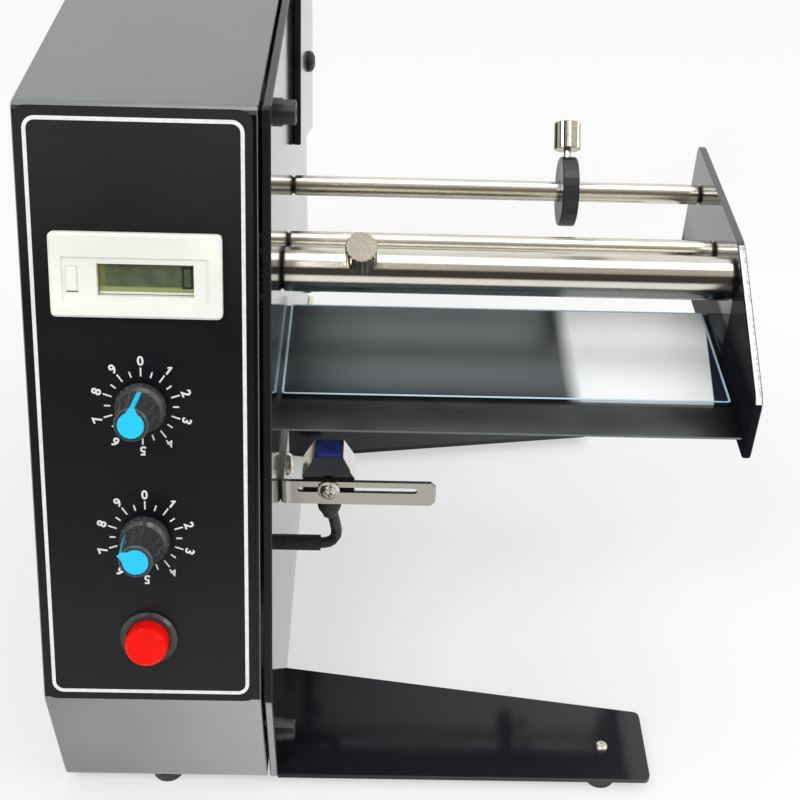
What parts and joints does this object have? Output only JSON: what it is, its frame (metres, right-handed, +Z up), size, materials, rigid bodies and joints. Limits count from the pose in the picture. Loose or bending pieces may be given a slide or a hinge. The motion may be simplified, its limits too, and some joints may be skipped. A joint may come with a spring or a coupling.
{
  "type": "desktop label dispenser",
  "caption": "Desktop label dispenser: tall control housing and side plate carrying guide rods, mirror-topped label platform, photo sensor, roll holder and a driven take-up roller.",
  "frame": {"origin": "The middle of the bounding box on the table plane, under the four pads.", "axes": "X runs from the control housing to the outer plate, Y runs from the front to the back and Z points up."},
  "size_m": [0.2224, 0.2548, 0.332],
  "materials": {
    "gloss_black": "glossy black coated sheet steel",
    "satin_coat": "satin grey coated sheet steel",
    "sticker": "satin printed plastic film",
    "ivory": "satin ivory plastic",
    "lcd": "clear display window over a grey-green display",
    "dark_plastic": "satin black plastic",
    "blue_plastic": "satin light blue plastic",
    "red_lens": "translucent red plastic",
    "nickel": "warm nickel plating, bright",
    "knurled_nickel": "nickel plating on straight knurling",
    "black_metal": "satin black coated metal",
    "mirror_sheet": "polished mirror sheet",
    "stainless": "fine brushed stainless steel",
    "rubber": "matte black rubber",
    "blue_lens": "deep blue sensor window",
    "brass": "machined brass",
    "board": "green circuit board with dark components",
    "machine_steel": "zinc plated steel"
  },
  "bodies": {
    "frame": {"housing_shell": "satin_coat", "main_plate": "gloss_black", "rear_cover": "satin_coat", "outer_plate": "gloss_black", "front_bar": "nickel", "panel_overlay": "sticker", "gear_motor": "machine_steel", "upper_rod": "nickel", "middle_rod": "nickel", "roll_arm": "gloss_black", "control_board": "board", "switch_body": "dark_plastic", "mains_inlet": "dark_plastic", "plate_screw_front_top": "black_metal", "plate_screw_front_bottom": "black_metal", "plate_screw_rear_top": "black_metal", "plate_screw_rear_bottom": "black_metal", "front_pad_screw": "nickel", "rear_pad_screw": "nickel", "bracket_screw": "nickel", "arm_screw_lower": "black_metal", "arm_screw_upper": "black_metal", "counter_case": "ivory", "sensor_bracket": "stainless", "front_foot_pad": "rubber", "rear_foot_pad": "rubber", "housing_front_pad": "rubber", "housing_rear_pad": "rubber", "front_foot_plate": "gloss_black", "rear_foot_plate": "gloss_black", "length_potentiometer": "machine_steel", "speed_potentiometer": "machine_steel", "roller_bearing": "brass", "rod_screw_upper": "black_metal", "rod_screw_middle": "black_metal", "rod_screw_front": "black_metal", "cable_sleeve": "rubber", "platform": "gloss_black", "platform_mirror": "mirror_sheet", "power_supply": "machine_steel", "counter_window": "lcd"},
    "length_dial": {"length_knob": "dark_plastic", "length_pointer": "blue_plastic"},
    "speed_dial": {"speed_knob": "dark_plastic", "speed_pointer": "blue_plastic"},
    "power_switch": {"power_button": "red_lens"},
    "counter_reset": {"reset_key": "ivory"},
    "web_guide": {"guide_collar": "black_metal"},
    "web_guide_screw": {"collar_thumbscrew": "knurled_nickel"},
    "bar_screw": {"bar_thumbscrew": "knurled_nickel"},
    "label_sensor": {"sensor_body": "nickel", "sensor_window": "blue_lens", "sensor_screw": "nickel", "sensor_cable": "rubber"},
    "takeup": {"takeup_roller": "nickel", "roller_gear": "brass"},
    "drive_pinion": {"motor_gear": "brass"},
    "paper_clip": {"takeup_clip": "nickel"},
    "roll_holder": {"roll_spindle": "nickel"},
    "roll_stop": {"roll_disc": "dark_plastic"}
  },
  "joints": [
    {"name": "length_dial_turn", "type": "hinge", "parent": "frame", "child": "length_dial", "pos_m": [-0.07815, -0.09432, 0.14039], "axis": [0, -0.9397, 0.342], "range_deg": [-319, 5]},
    {"name": "speed_dial_turn", "type": "hinge", "parent": "frame", "child": "speed_dial", "pos_m": [-0.07815, -0.10831, 0.10196], "axis": [0, -0.9397, 0.342], "range_deg": [-28, 296]},
    {"name": "power_button_press", "type": "slide", "parent": "frame", "child": "power_switch", "axis": [0, 0.9397, -0.342], "range_m": [0, 0.0025], "stiffness_N_per_m": 600},
    {"name": "reset_key_press", "type": "slide", "parent": "frame", "child": "counter_reset", "axis": [0, 0.9397, -0.342], "range_m": [0, 0.0008], "stiffness_N_per_m": 500},
    {"name": "web_guide_slide", "type": "slide", "parent": "frame", "child": "web_guide", "axis": [1, 0, 0], "range_m": [-0.0875, 0.041]},
    {"name": "web_guide_screw_turn", "type": "hinge", "parent": "web_guide", "child": "web_guide_screw", "pos_m": [0.05485, 0.02705, 0.16392], "axis": [0, 0.6428, 0.766], "range_deg": [0, 540]},
    {"name": "bar_screw_turn", "type": "hinge", "parent": "frame", "child": "bar_screw", "pos_m": [-0.01595, -0.04401, 0.16137], "axis": [0, -0.5736, 0.8192], "range_deg": [0, 540]},
    {"name": "sensor_slide", "type": "slide", "parent": "frame", "child": "label_sensor", "axis": [1, 0, 0], "range_m": [-0.001, 0.0268]},
    {"name": "takeup_turn", "type": "hinge", "parent": "frame", "child": "takeup", "pos_m": [0.02925, 0.01135, 0.088], "axis": [1, 0, 0], "continuous": true},
    {"name": "pinion_turn", "type": "hinge", "parent": "frame", "child": "drive_pinion", "pos_m": [-0.05075, 0.01135, 0.11215], "axis": [1, 0, 0], "continuous": true},
    {"name": "paper_clip_pull", "type": "slide", "parent": "takeup", "child": "paper_clip", "axis": [1, 0, 0], "range_m": [0, 0.142]},
    {"name": "roll_holder_turn", "type": "hinge", "parent": "frame", "child": "roll_holder", "pos_m": [0.02925, 0.08135, 0.286], "axis": [1, 0, 0], "continuous": true},
    {"name": "roll_stop_slide", "type": "slide", "parent": "roll_holder", "child": "roll_stop", "axis": [1, 0, 0], "range_m": [-0.1065, 0.036]}
  ],
  "couplings": [
    {"joint": "pinion_turn", "follows": "takeup_turn", "ratio": -2}
  ]
}
